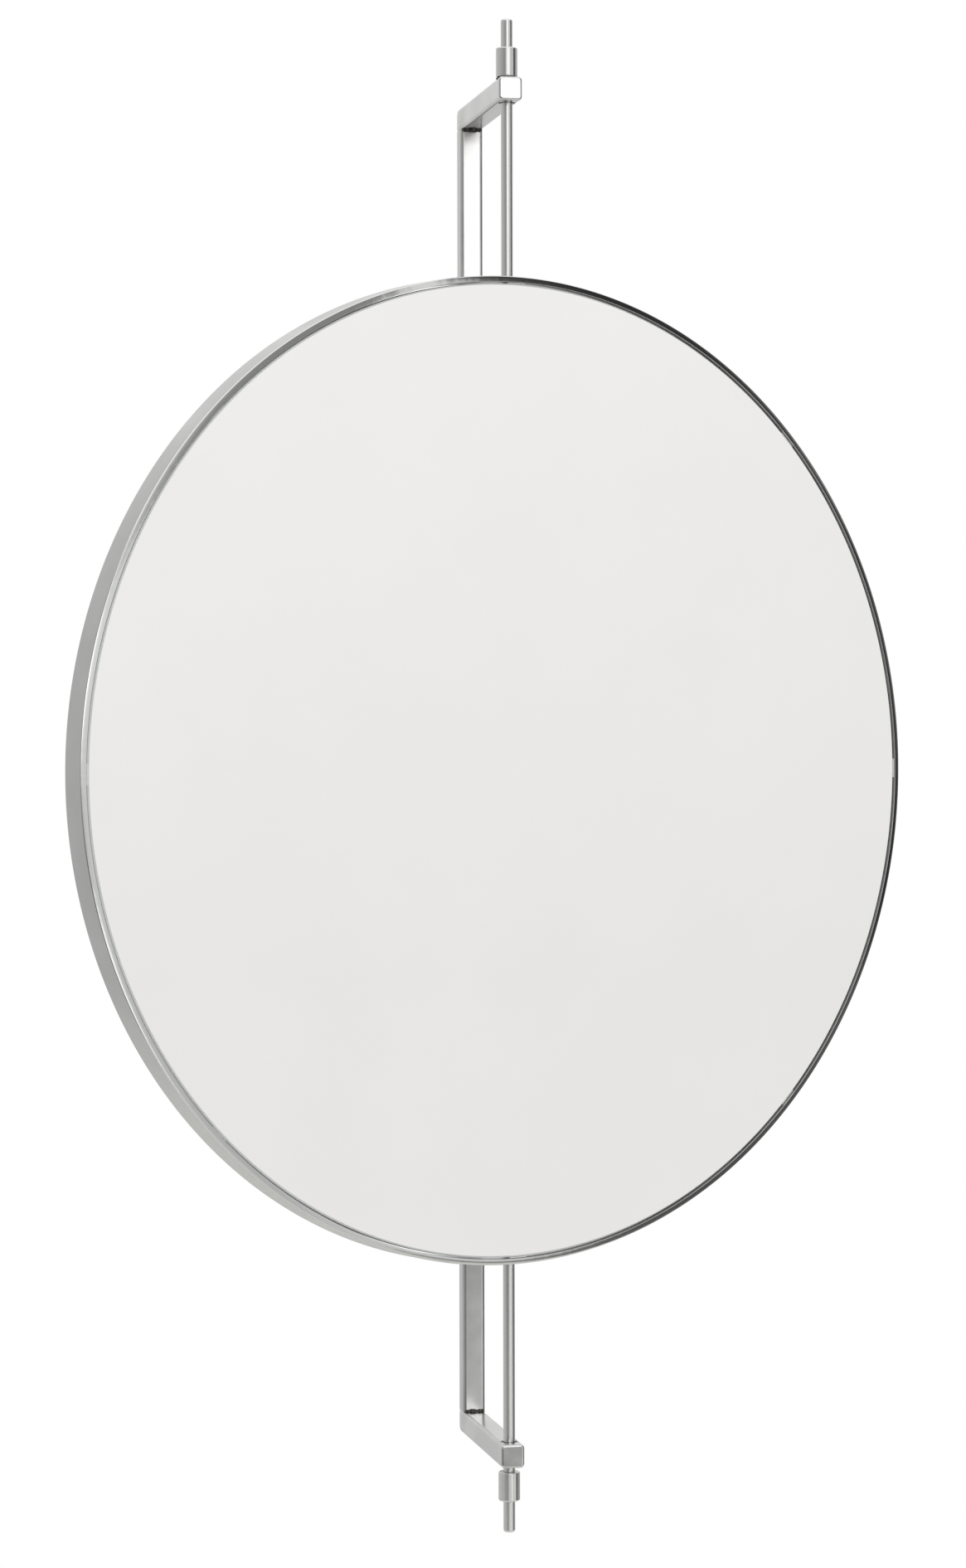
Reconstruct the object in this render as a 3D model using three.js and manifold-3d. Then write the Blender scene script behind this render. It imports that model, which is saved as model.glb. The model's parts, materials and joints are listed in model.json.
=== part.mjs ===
// Round wall mirror that swivels on a vertical rod, held in a C-shaped bracket of square bar.
// Millimetres, +Z up, front towards -Y. The origin is the middle of the bracket's wall face.
import * as THREE from 'three';
import { mergeVertices } from 'three/addons/utils/BufferGeometryUtils.js';
import Module from 'manifold-3d';

const wasm = await Module();
wasm.setup();

// ---- Driving dimensions, millimetres and degrees ----

// Wall bracket
const bracketHeight = 704;        // over the outer faces of the two arms
const barSize = 12;               // square bar of the upright and the arms
const barEdgeRadius = 2.0;        // long edges of the bar
const armEndRadius = 1.2;         // ground edges round the free end of an arm
const bracketCornerRadius = 4;    // ground outer corners, where an arm meets the upright
const rodToWall = 105;            // wall face to the swivel axis
const rodToArmEnd = 10;           // swivel axis to the free end of an arm
const weldLeg = 3;                // fillet weld in the two inner corners
const weldEndInset = 1.5;         // each end of a weld in from the side of the bar
const fixingSpacing = 340;        // the two countersunk wall-fixing holes, behind the mirror
const fixingHoleDiameter = 5;
const fixingSinkDiameter = 9.6;

// Bearings in the arms
const bushWall = 1.25;
const bushFitClearance = 0.05;    // bush in the arm, all round
const rodRunningClearance = 0.08; // rod in the bush, all round
const washerThickness = 0.5;
const washerDiameter = 11;

// Swivel rod and its two clamped collars
const rodDiameter = 6;
const rodTopTip = 14.5;           // bare rod beyond the top collar
const rodBottomTip = 16;          // and beyond the bottom one
const rodTipRadius = 1.2;
const collarDiameter = 11;
const collarHeight = 15;
const collarChamfer = 0.7;
const lowerPlay = 3;              // bottom arm to bottom collar
const grubDiameter = 3;
const grubLength = 2;
const grubSocketWidth = 1.5;
const grubSocketDepth = 1.1;

// Mirror
const mirrorTurn = 22.8;          // how far the mirror is turned from parallel to the wall
const mirrorRise = 1.4;           // middle of the mirror above the middle of the bracket
const ringDiameter = 500;
const ringDepth = 16;
const ringWall = 3;
const ringOuterRadius = 1.6;      // polished front edge, outer and inner rounding
const ringInnerEdgeRadius = 0.8;
const ringBackRadius = 0.4;
const glassThickness = 3;
const glassRecess = 0.5;          // glass face behind the ring's front edge
const glassEdgeGap = 0.9;         // ring to glass, filled at intervals by the spacers
const glassArris = 0.4;
const spacerCount = 8;
const spacerLength = 10;
const spacerThickness = 0.4;
const tapeThickness = 0.6;
const tapeWidth = 25;
const tapeOffsets = [-165, -55, 55, 165];
const tapeEdgeMargin = 25;        // end of a strip to the plate's edge
const plateThickness = 1;
const plateEdgeGap = 0.6;
const saddleOffsets = [-180, 0, 180];
const saddleWidth = 22;           // along the rod
const saddleThickness = 1.2;
const saddleFoot = 14;
const clipAngles = [45, 135, 225, 315];
const clipLength = 18;
const clipLeg = 8;
const clipThickness = 1.2;

// Gap kept between pieces that rest on each other inside the turned mirror
const seat = 0.3;

// Facets
const ringSegments = 120;
const rodSegments = 24;
const arcSegments = 4;

// ---- Worked-out places ----

const degrees = Math.PI / 180;
const halfHeight = bracketHeight / 2;
const armLength = rodToWall + rodToArmEnd;
const rodRadius = rodDiameter / 2;
const collarRadius = collarDiameter / 2;
const roundness = Math.cos(Math.PI / rodSegments);  // flat-to-corner ratio of a faceted round
const bushBore = (rodRadius + rodRunningClearance) / roundness;
const bushRadius = bushBore + bushWall;
const collarBore = (rodRadius + seat / 2) / roundness;
const upperCollarBase = halfHeight + washerThickness + seat;
const lowerCollarBase = -halfHeight - lowerPlay - collarHeight;

// Depths in the mirror, measured back from the ring's front edge
const glassBack = glassRecess + glassThickness;
const tapeFront = glassBack + seat;
const plateFront = tapeFront + tapeThickness + seat;
const plateBack = plateFront + plateThickness;
const rodDepth = plateBack + seat + rodRadius;
const ringInnerRadius = ringDiameter / 2 - ringWall;
const glassRadius = ringInnerRadius - glassEdgeGap;
const plateRadius = ringInnerRadius - plateEdgeGap;
const depthToY = (depth) => depth - rodDepth;

// ---- Materials ----

const metal = (color, roughness) => new THREE.MeshStandardMaterial({ color, roughness, metalness: 1 });
const dull = (color, roughness) => new THREE.MeshStandardMaterial({ color, roughness, metalness: 0 });
const brushedSteel = () => metal(0xb4b4b2, 0.38);
const polishedSteel = () => metal(0xc8c8c6, 0.2);
const weldMetal = () => metal(0x4a4744, 0.7);
const sheetSteel = () => metal(0xa9abab, 0.5);
const blackSteel = () => metal(0x26262a, 0.5);
const mirrorGlass = () => metal(0xe9ebeb, 0.03);
const acetal = () => dull(0x1c1c1e, 0.5);
const clearPad = () => dull(0xd9dad6, 0.4);
const foamTape = () => dull(0xe6e4dc, 0.9);

// ---- Small tools ----

function solidOf(geometry) {
  const bare = geometry.clone();
  bare.deleteAttribute('normal');
  bare.deleteAttribute('uv');
  const merged = mergeVertices(bare);
  const vertProperties = new Float32Array(merged.attributes.position.array);
  const triVerts = new Uint32Array(merged.index.array);
  return new wasm.Manifold(new wasm.Mesh({ numProp: 3, vertProperties, triVerts }));
}

function geometryOf(solid) {
  const mesh = solid.getMesh();
  const geometry = new THREE.BufferGeometry();
  geometry.setAttribute('position', new THREE.BufferAttribute(mesh.vertProperties, 3));
  geometry.setIndex(new THREE.BufferAttribute(mesh.triVerts, 1));
  return geometry;
}

// A rectangle from (x0, y0) to (x1, y1); radii go round from the corner (x0, y0) to (x1, y0) and on.
function roundedRectangle(x0, y0, x1, y1, radii) {
  const corners = [
    { x: x0, y: y0, towards: [1, 1], from: 180 }, { x: x1, y: y0, towards: [-1, 1], from: 270 },
    { x: x1, y: y1, towards: [-1, -1], from: 0 }, { x: x0, y: y1, towards: [1, -1], from: 90 },
  ];
  const points = corners.flatMap(({ x, y, towards, from }, index) => {
    const radius = radii[index];
    if (radius === 0) return [new THREE.Vector2(x, y)];
    const centre = new THREE.Vector2(x + towards[0] * radius, y + towards[1] * radius);
    return Array.from({ length: arcSegments + 1 }, (_, step) => {
      const angle = (from + 90 * step / arcSegments) * degrees;
      return new THREE.Vector2(centre.x + radius * Math.cos(angle), centre.y + radius * Math.sin(angle));
    });
  });
  return new THREE.Shape(points);
}

// Prisms of an outline along X (outline in Y, Z), along Y (outline in X, Z) and along Z (outline in X, Y).
const prismX = (shape, from, to) => prism(shape, from, to, new THREE.Matrix4().makeBasis(
  new THREE.Vector3(0, 1, 0), new THREE.Vector3(0, 0, 1), new THREE.Vector3(1, 0, 0)));
const prismY = (shape, from, to) => prism(shape, -to, -from, new THREE.Matrix4().makeBasis(
  new THREE.Vector3(1, 0, 0), new THREE.Vector3(0, 0, 1), new THREE.Vector3(0, -1, 0)));
const prismZ = (shape, from, to) => prism(shape, from, to, new THREE.Matrix4());

function prism(shape, from, to, turn) {
  const geometry = new THREE.ExtrudeGeometry(shape, { depth: to - from, bevelEnabled: false });
  return geometry.translate(0, 0, from).applyMatrix4(turn);
}

// A turned piece round +Z; points are [radius, height], upwards on the outside.
function turnedZ(points, segments = rodSegments) {
  return turnedY(points, segments).rotateX(Math.PI / 2);
}

function turnedY(points, segments = ringSegments) {
  const profile = points.map(([radius, height]) => new THREE.Vector2(radius, height));
  return new THREE.LatheGeometry(profile, segments);
}

const sleeveZ = (bore, radius, from, to) => turnedZ(
  [[bore, from], [radius, from], [radius, to], [bore, to], [bore, from]]);
const cylinderZ = (radius, from, to) => turnedZ([[0, from], [radius, from], [radius, to], [0, to]]);

function addPiece(group, name, geometry, material) {
  const mesh = new THREE.Mesh(geometry, material);
  mesh.name = name;
  group.add(mesh);
  return mesh;
}

// ---- Wall bracket ----

function armGeometry(side) {
  const half = barSize / 2;
  const middle = side * (halfHeight - half);
  const sectionRadii = Array(4).fill(barEdgeRadius);
  const section = roundedRectangle(-half, middle - half, half, middle + half, sectionRadii);
  const along = solidOf(prismY(section, -armLength, 0));
  const wallRadii = side > 0 ? [0, bracketCornerRadius] : [bracketCornerRadius, 0];
  const sideRadii = [armEndRadius, ...wallRadii, armEndRadius];
  const sideView = roundedRectangle(-armLength, middle - half, 0, middle + half, sideRadii);
  const across = solidOf(prismX(sideView, -half, half));
  const planView = roundedRectangle(-half, -armLength, half, 0, [armEndRadius, armEndRadius, 0, 0]);
  const plan = solidOf(prismZ(planView, middle - half, middle + half));
  const bushHole = solidOf(cylinderZ(bushRadius + bushFitClearance, middle - barSize, middle + barSize)
    .translate(0, -rodToWall, 0));
  return geometryOf(along.intersect(across).intersect(plan).subtract(bushHole));
}

function uprightGeometry() {
  const half = barSize / 2;
  const length = bracketHeight / 2 - barSize;
  const bar = roundedRectangle(-half, -barSize, half, 0, Array(4).fill(barEdgeRadius));
  let upright = solidOf(prismZ(bar, -length, length));
  const holeRadius = fixingHoleDiameter / 2;
  const sinkRadius = fixingSinkDiameter / 2;
  const sinkDepth = sinkRadius - holeRadius;
  for (const side of [-1, 1]) {
    const hole = turnedY([
      [0, -barSize - 1], [sinkRadius + 1, -barSize - 1], [holeRadius, -barSize + sinkDepth],
      [holeRadius, 1], [0, 1],
    ], rodSegments);
    upright = upright.subtract(solidOf(hole.translate(0, 0, side * fixingSpacing / 2)));
  }
  return geometryOf(upright);
}

function weldGeometry(side) {
  const inner = side * (halfHeight - barSize);
  const corner = [-barSize, inner];
  const shape = new THREE.Shape([corner, [corner[0] - weldLeg, inner], [corner[0], inner - side * weldLeg]]
    .map(([y, z]) => new THREE.Vector2(y, z)));
  const halfWidth = barSize / 2 - weldEndInset;
  return prismX(shape, -halfWidth, halfWidth);
}

const bracket = new THREE.Group();
addPiece(bracket, 'bracket_upright', uprightGeometry(), brushedSteel());
for (const [end, side] of [['top', 1], ['bottom', -1]]) {
  addPiece(bracket, `${end}_arm`, armGeometry(side), brushedSteel());
  addPiece(bracket, `${end}_weld`, weldGeometry(side), weldMetal());
  const inside = side * (halfHeight - barSize);
  const outside = side * halfHeight;
  const bush = sleeveZ(bushBore, bushRadius, Math.min(inside, outside), Math.max(inside, outside));
  addPiece(bracket, `${end}_bush`, bush.translate(0, -rodToWall, 0), acetal());
}
const washer = sleeveZ(bushBore, washerDiameter / 2, halfHeight, halfHeight + washerThickness);
addPiece(bracket, 'thrust_washer', washer.translate(0, -rodToWall, 0), acetal());

// ---- Mirror, turned about the rod; inside this group the rod is on the Z axis ----

const mirror = new THREE.Group();
mirror.position.set(0, -rodToWall, 0);
mirror.rotation.z = mirrorTurn * degrees;

function rodGeometry() {
  const top = upperCollarBase + collarHeight + rodTopTip;
  const bottom = lowerCollarBase - rodBottomTip;
  const tip = Array.from({ length: arcSegments + 1 }, (_, step) => 90 * step / arcSegments * degrees);
  const shoulder = rodRadius - rodTipRadius;
  const lower = tip.map((angle) => [
    shoulder + rodTipRadius * Math.sin(angle), bottom + rodTipRadius * (1 - Math.cos(angle))]);
  const upper = lower.map(([radius, height]) => [radius, top + bottom - height]).reverse();
  return turnedZ([[0, bottom], ...lower, ...upper, [0, top]]);
}

function ringGeometry() {
  const front = depthToY(0);
  const back = depthToY(ringDepth);
  const outer = ringDiameter / 2;
  const radii = [ringInnerEdgeRadius, ringOuterRadius, ringBackRadius, ringBackRadius];
  const section = roundedRectangle(ringInnerRadius, front, outer, back, radii).getPoints();
  const closed = [...section, section[0]].map((point) => [point.x, point.y]);
  const hole = solidOf(cylinderZ(rodRadius + seat, ringInnerRadius - ringWall, outer + ringWall));
  const lowerHole = solidOf(cylinderZ(rodRadius + seat, -outer - ringWall, -ringInnerRadius + ringWall));
  return geometryOf(solidOf(turnedY(closed)).subtract(hole).subtract(lowerHole));
}

function discGeometry(radius, frontDepth, backDepth, arris) {
  const front = depthToY(frontDepth);
  const back = depthToY(backDepth);
  const edge = radius - arris;
  const outline = arris > 0
    ? [[0, front], [edge, front], [radius, front + arris], [radius, back - arris], [edge, back], [0, back]]
    : [[0, front], [radius, front], [radius, back], [0, back]];
  return turnedY(outline);
}

function collarGeometry(base) {
  const top = base + collarHeight;
  const body = solidOf(turnedZ([
    [collarBore, base], [collarRadius - collarChamfer, base], [collarRadius, base + collarChamfer],
    [collarRadius, top - collarChamfer], [collarRadius - collarChamfer, top], [collarBore, top],
    [collarBore, base],
  ]));
  const hole = cylinderZ(grubDiameter / 2 + seat / 2, rodRadius, collarDiameter).rotateX(-Math.PI / 2);
  return geometryOf(body.subtract(solidOf(hole.translate(0, 0, base + collarHeight / 2))));
}

// A socket set screw whose axis is +Y, its hexagon socket in the outer end.
function grubGeometry(base) {
  const inner = rodRadius + seat;
  const outer = inner + grubLength;
  const body = solidOf(cylinderZ(grubDiameter / 2, inner, outer));
  const hexagon = new THREE.Shape(Array.from({ length: 6 }, (_, corner) => {
    const angle = 60 * corner * degrees;
    const radius = grubSocketWidth / 2 / Math.cos(30 * degrees);
    return new THREE.Vector2(radius * Math.cos(angle), radius * Math.sin(angle));
  }));
  const socket = solidOf(prismZ(hexagon, outer - grubSocketDepth, outer + 1));
  return geometryOf(body.subtract(socket)).rotateX(-Math.PI / 2).translate(0, 0, base + collarHeight / 2);
}

function spacerGeometry() {
  const middle = (glassRadius + ringInnerRadius * Math.cos(Math.PI / ringSegments)) / 2;
  const half = spacerLength / 2;
  const halfPad = spacerThickness / 2;
  const pad = roundedRectangle(middle - halfPad, -half, middle + halfPad, half, [0, 0, 0, 0]);
  return prism(pad, 0, glassThickness, new THREE.Matrix4()).rotateX(-Math.PI / 2)
    .translate(0, depthToY(glassRecess), 0);
}

function tapeGeometry(height) {
  const half = tapeWidth / 2;
  const farEdge = Math.abs(height) + half;
  const halfLength = Math.sqrt(plateRadius ** 2 - farEdge ** 2) - tapeEdgeMargin;
  const strip = roundedRectangle(-halfLength, height - half, halfLength, height + half, [0, 0, 0, 0]);
  return prismY(strip, depthToY(tapeFront), depthToY(tapeFront + tapeThickness));
}

// A strap over the rod with a foot on each side, spot-welded to the back plate.
function saddleGeometry(height) {
  const plate = plateBack + seat - rodDepth;
  const inner = rodRadius + seat;
  const outer = inner + saddleThickness;
  const strap = new THREE.Shape();
  strap.moveTo(-saddleFoot, plate);
  strap.lineTo(-inner, plate);
  strap.lineTo(-inner, 0);
  strap.absarc(0, 0, inner, Math.PI, 0, true);
  strap.lineTo(inner, plate);
  strap.lineTo(saddleFoot, plate);
  strap.lineTo(saddleFoot, plate + saddleThickness);
  strap.lineTo(outer, plate + saddleThickness);
  strap.lineTo(outer, 0);
  strap.absarc(0, 0, outer, 0, Math.PI, false);
  strap.lineTo(-outer, plate + saddleThickness);
  strap.lineTo(-saddleFoot, plate + saddleThickness);
  const settings = { depth: saddleWidth, bevelEnabled: false, curveSegments: 2 * arcSegments };
  return new THREE.ExtrudeGeometry(strap, settings).translate(0, 0, height - saddleWidth / 2);
}

// An angle that holds the back plate inside the ring: one leg on the plate, one on the ring.
function clipGeometry() {
  const facetedInside = ringInnerRadius * Math.cos(Math.PI / ringSegments);
  const rim = Math.sqrt(facetedInside ** 2 - (clipLength / 2) ** 2) - seat;
  const foot = depthToY(plateBack + seat);
  const angle = new THREE.Shape([
    [rim - clipLeg, foot], [rim, foot], [rim, foot + clipLeg], [rim - clipThickness, foot + clipLeg],
    [rim - clipThickness, foot + clipThickness], [rim - clipLeg, foot + clipThickness],
  ].map(([x, y]) => new THREE.Vector2(x, y)));
  return prismZ(angle, -clipLength / 2, clipLength / 2);
}

addPiece(mirror, 'swivel_rod', rodGeometry(), polishedSteel());
for (const [end, base] of [['top', upperCollarBase], ['bottom', lowerCollarBase]]) {
  addPiece(mirror, `${end}_collar`, collarGeometry(base), polishedSteel());
  addPiece(mirror, `${end}_grub_screw`, grubGeometry(base), blackSteel());
}

const framedGlass = new THREE.Group();
framedGlass.position.z = mirrorRise;
addPiece(framedGlass, 'ring_frame', ringGeometry(), brushedSteel());
const pane = discGeometry(glassRadius, glassRecess, glassBack, glassArris);
addPiece(framedGlass, 'mirror_glass', pane, mirrorGlass());
const plate = discGeometry(plateRadius, plateFront, plateBack, 0);
addPiece(framedGlass, 'back_plate', plate, sheetSteel());
for (let index = 0; index < spacerCount; index += 1) {
  const spacer = addPiece(framedGlass, `glass_spacer_${index + 1}`, spacerGeometry(), clearPad());
  spacer.rotation.y = index * 360 / spacerCount * degrees;
}
tapeOffsets.forEach((height, index) => {
  addPiece(framedGlass, `foam_tape_${index + 1}`, tapeGeometry(height), foamTape());
});
saddleOffsets.forEach((height, index) => {
  addPiece(framedGlass, `rod_saddle_${index + 1}`, saddleGeometry(height), sheetSteel());
});
clipAngles.forEach((angle, index) => {
  const clip = addPiece(framedGlass, `edge_clip_${index + 1}`, clipGeometry(), sheetSteel());
  clip.rotation.y = angle * degrees;
});
mirror.add(framedGlass);

const swivelMirror = new THREE.Group();
swivelMirror.add(bracket, mirror);
export default swivelMirror;
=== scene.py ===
"""Round swivelling wall mirror: the fine surfaces and finishes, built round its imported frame.

Metres, +Z up, front towards -Y. The swivel rod stands on the hinge of the frame's only joint,
and the mirror is turned about it by the angle that its glass mount gives.
"""
import json
import random
from contextlib import contextmanager
from math import atan2, cos, hypot, pi, radians, sin, tan

import bmesh
import bpy
from bpy.props import FloatProperty, FloatVectorProperty, IntProperty, PointerProperty
from mathutils import Matrix, Vector


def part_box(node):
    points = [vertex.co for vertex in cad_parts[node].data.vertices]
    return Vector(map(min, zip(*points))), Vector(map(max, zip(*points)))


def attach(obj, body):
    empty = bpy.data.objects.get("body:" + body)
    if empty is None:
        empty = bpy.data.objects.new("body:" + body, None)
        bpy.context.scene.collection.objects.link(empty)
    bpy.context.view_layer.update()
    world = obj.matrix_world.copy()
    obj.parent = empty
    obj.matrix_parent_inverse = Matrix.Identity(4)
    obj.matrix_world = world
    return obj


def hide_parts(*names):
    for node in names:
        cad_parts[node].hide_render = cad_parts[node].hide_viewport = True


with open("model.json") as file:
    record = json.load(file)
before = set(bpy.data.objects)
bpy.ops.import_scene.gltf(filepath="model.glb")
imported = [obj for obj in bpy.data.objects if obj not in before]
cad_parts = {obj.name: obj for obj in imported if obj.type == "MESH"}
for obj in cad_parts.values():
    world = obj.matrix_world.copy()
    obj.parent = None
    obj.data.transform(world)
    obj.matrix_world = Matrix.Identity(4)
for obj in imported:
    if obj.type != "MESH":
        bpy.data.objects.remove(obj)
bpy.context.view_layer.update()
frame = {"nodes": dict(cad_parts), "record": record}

bl_info = {
    "name": "Swivelling wall mirror",
    "version": (1, 0, 0),
    "blender": (4, 5, 0),
    "location": "3D View > Sidebar > Mirror",
    "description": "Builds a round mirror that swivels on a rod in a welded wall bracket",
    "category": "Add Mesh",
}

MM = 0.001
NEAR = 0.01 * MM         # places this close are the same place
MERGED = 0.001 * MM      # vertices this close are merged
SEAT = 0.3 * MM          # between two pieces that touch
STRAP_EDGE = 0.3 * MM    # rounding of a saddle's or clip's edges
HINGE = frame["record"]["behaviour"]["joints"][0]["pos_m"]
MOUNTS = {mount["name"]: mount for mount in frame["record"]["mounts"]}
GLASS_NORMAL = MOUNTS["glass_face"]["axis"]
MIRROR_TURN = atan2(GLASS_NORMAL[0], -GLASS_NORMAL[1])


def node_size(node, axis):
    """How long a node of the frame is along one axis."""
    low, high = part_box(node)
    return high[axis] - low[axis]


def node_middle(node):
    """The middle of a node's box."""
    low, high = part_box(node)
    return (Vector(low) + Vector(high)) / 2


def linear(code):
    """An sRGB hex colour as linear red, green and blue."""
    channels = [int(code[start:start + 2], 16) / 255 for start in (1, 3, 5)]
    return [value / 12.92 if value <= 0.04045 else ((value + 0.055) / 1.055) ** 2.4 for value in channels]


# ---- Sizes and colours that a user would change ----

def length(name, description, default):
    return FloatProperty(name=name, description=description, default=default, min=0.0,
                         unit="LENGTH", subtype="DISTANCE", precision=5)


def colour(name, description, code):
    return FloatVectorProperty(name=name, description=description, default=linear(code),
                               subtype="COLOR", size=3, min=0.0, max=1.0)


class BracketSizes(bpy.types.PropertyGroup):
    """The wall bracket of square bar."""
    bar: length("Bar", "Side of the square bar", node_size("bracket_upright", 0))
    bar_edge: length("Bar edge", "Rounding of the bar's long edges", 2.0 * MM)
    arm_end: length("Arm end", "Rounding round the free end of an arm", 1.2 * MM)
    corner: length("Corner", "Rounding of the two ground outer corners", 4.0 * MM)
    fixing_spacing: length("Fixing spacing", "Between the two wall-fixing holes", 340 * MM)
    fixing_hole: length("Fixing hole", "Diameter of a wall-fixing hole", 5.0 * MM)
    fixing_sink: length("Fixing sink", "Diameter of its countersink", 9.6 * MM)
    weld_height: length("Weld", "How far a weld bead stands out of its corner", 1.75 * MM)
    weld_runs: IntProperty(name="Weld runs", description="Ripples in a weld bead", default=7, min=1)
    steel: colour("Bar steel", "Satin stainless steel of the bar", "#D1D1D0")
    weld: colour("Weld", "Scaled weld metal", "#474543")


class RodSizes(bpy.types.PropertyGroup):
    """The swivel rod, its collars and its bearings."""
    rod: length("Rod", "Diameter of the swivel rod", 6.0 * MM)
    rod_tip: length("Rod tip", "Rounding of the rod's ends", 1.2 * MM)
    collar: length("Collar", "Diameter of a collar", 11.0 * MM)
    collar_edge: length("Collar edge", "Rounding of a collar's rims", 0.9 * MM)
    grub: length("Grub screw", "Diameter of a collar's grub screw", 3.0 * MM)
    grub_length: length("Grub length", "Length of the grub screw", 2.0 * MM)
    grub_socket: length("Grub socket", "Across the flats of its hexagon socket", 1.5 * MM)
    socket_depth: length("Socket depth", "Depth of the hexagon socket", 1.1 * MM)
    running: length("Running clearance", "Rod to bush, all round", 0.08 * MM)
    steel: colour("Rod steel", "Bright drawn stainless steel", "#D9D9D8")


class MirrorSizes(bpy.types.PropertyGroup):
    """The ring, the glass and what holds them."""
    ring: length("Ring", "Outer diameter of the ring", node_size("ring_frame", 2))
    ring_depth: length("Ring depth", "Width of the rolled flat bar", 16.0 * MM)
    ring_wall: length("Ring wall", "Thickness of the rolled flat bar", 3.0 * MM)
    outer_edge: length("Outer edge", "Rounding of the front edge, outside", 0.45 * MM)
    inner_edge: length("Inner edge", "Rounding of the front edge, inside", 0.15 * MM)
    back_edge: length("Back edge", "Rounding of the back edges", 0.4 * MM)
    glass: length("Glass", "Thickness of the glass", 3.0 * MM)
    glass_recess: length("Glass recess", "Glass behind the ring's front edge", 0.5 * MM)
    glass_arris: length("Glass arris", "Ground bevel round the glass", 0.75 * MM)
    glass_gap: length("Glass gap", "Ring to glass, all round", 0.9 * MM)
    pad_drop: length("Pad drop", "How much deeper every second pad sits", 1.0 * MM)
    plate: length("Back plate", "Thickness of the back plate", 1.0 * MM)
    plate_gap: length("Plate gap", "Ring to back plate, all round", 0.6 * MM)
    strap: length("Strap", "Thickness of the saddles and clips", 1.2 * MM)
    saddle_reach: length("Saddle reach", "Rod's axis to the end of a saddle's foot", 14 * MM)
    clip: length("Clip", "Length of an edge clip", 18 * MM)
    clip_leg: length("Clip leg", "Width of each of its legs", 8 * MM)
    steel: colour("Ring steel", "Brushed stainless steel of the ring", "#D2D2D1")
    sheet: colour("Sheet steel", "Mill-finish sheet of the back", "#C4C6C7")
    silver: colour("Silvering", "What the glass gives back", "#F9F8F6")


class StageSettings(bpy.types.PropertyGroup):
    """The camera, the floor and the light."""
    distance: length("Camera distance", "Camera to the swivel rod", 2.062)
    azimuth: FloatProperty(name="Azimuth", description="Camera to the left of straight on",
                           default=radians(-11.49), subtype="ANGLE")
    pitch: FloatProperty(name="Pitch", description="How far the camera looks up",
                         default=radians(-0.71), subtype="ANGLE")
    roll: FloatProperty(name="Roll", description="Camera's lean", default=radians(-0.11), subtype="ANGLE")
    height: length("Camera height", "Camera above the bracket's middle", 20.3 * MM)
    aside: length("Aim aside", "How far left of the rod the camera aims", 12.7 * MM)
    lens: FloatProperty(name="Lens", description="Focal length on a 36 mm high sensor, in millimetres",
                        default=93.2, min=1.0)
    floor_drop: length("Floor drop", "Floor below the wall face's middle", 0.62)
    floor_radius: length("Floor radius", "Radius of the round floor", 0.74)
    floor: colour("Floor", "Pale matt floor", "#ECEBE8")


# ---- Modelling by hand: small tools ----

def activate(piece):
    """Selects this object alone."""
    bpy.ops.object.select_all(action="DESELECT")
    piece.select_set(True)
    bpy.context.view_layer.objects.active = piece


def named(piece, name):
    """Names an object and its mesh."""
    piece.name = name
    piece.data.name = name
    return piece


def started(primitive, name, scale=(1, 1, 1), **settings):
    """Adds a primitive by its operator, names it and scales it."""
    bpy.ops.object.select_all(action="DESELECT")
    primitive(**settings)
    piece = bpy.context.active_object
    piece.scale = scale
    return named(piece, name)


def block(name, low, high):
    """A block between two corners."""
    middle = (Vector(low) + Vector(high)) / 2
    extent = Vector(high) - Vector(low)
    piece = started(bpy.ops.mesh.primitive_cube_add, name, size=1, location=middle, scale=extent)
    return settled(piece)


def cylinder(name, radius, low, high, sides=48):
    """An upright cylinder about the Z axis, from height low to height high."""
    piece = started(bpy.ops.mesh.primitive_cylinder_add, name, vertices=sides, radius=radius,
                    depth=high - low, location=(0, 0, (low + high) / 2))
    return settled(piece)


def settled(piece):
    """Puts the object's place, turn and scale into its mesh."""
    activate(piece)
    bpy.ops.object.transform_apply(location=True, rotation=True, scale=True)
    return piece


def placed(piece, matrix):
    """Moves the piece by a matrix, and its place into its mesh."""
    piece.matrix_world = matrix @ piece.matrix_world
    return settled(piece)


def finished(piece, kind, **settings):
    """Adds a modifier with its settings and applies it."""
    activate(piece)
    bpy.ops.object.modifier_add(type=kind)
    modifier = piece.modifiers[-1]
    for name, value in settings.items():
        setattr(modifier, name, value)
    bpy.ops.object.modifier_apply(modifier=modifier.name)
    return piece


def cut(piece, *cutters):
    """Takes the cutters out of the piece and removes them."""
    for cutter in cutters:
        finished(piece, "BOOLEAN", operation="DIFFERENCE", object=cutter, solver="EXACT")
        bpy.data.objects.remove(cutter)
    return piece


def copied(piece, name):
    """A copy of the piece with its own mesh."""
    twin = piece.copy()
    twin.data = piece.data.copy()
    bpy.context.collection.objects.link(twin)
    return named(twin, name)


def smoothed(piece, angle=38):
    """Smooth shading up to an angle in degrees, with the flats kept flat."""
    activate(piece)
    bpy.ops.object.shade_smooth_by_angle(angle=radians(angle))
    return finished(piece, "WEIGHTED_NORMAL", mode="FACE_AREA", weight=90, keep_sharp=True)


@contextmanager
def editing(piece, mode="VERT"):
    """Edit mode on the piece with nothing selected."""
    activate(piece)
    bpy.ops.object.mode_set(mode="EDIT")
    bpy.ops.mesh.select_mode(type=mode)
    bpy.ops.mesh.select_all(action="DESELECT")
    yield bmesh.from_edit_mesh(piece.data)
    bpy.ops.object.mode_set(mode="OBJECT")


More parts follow.
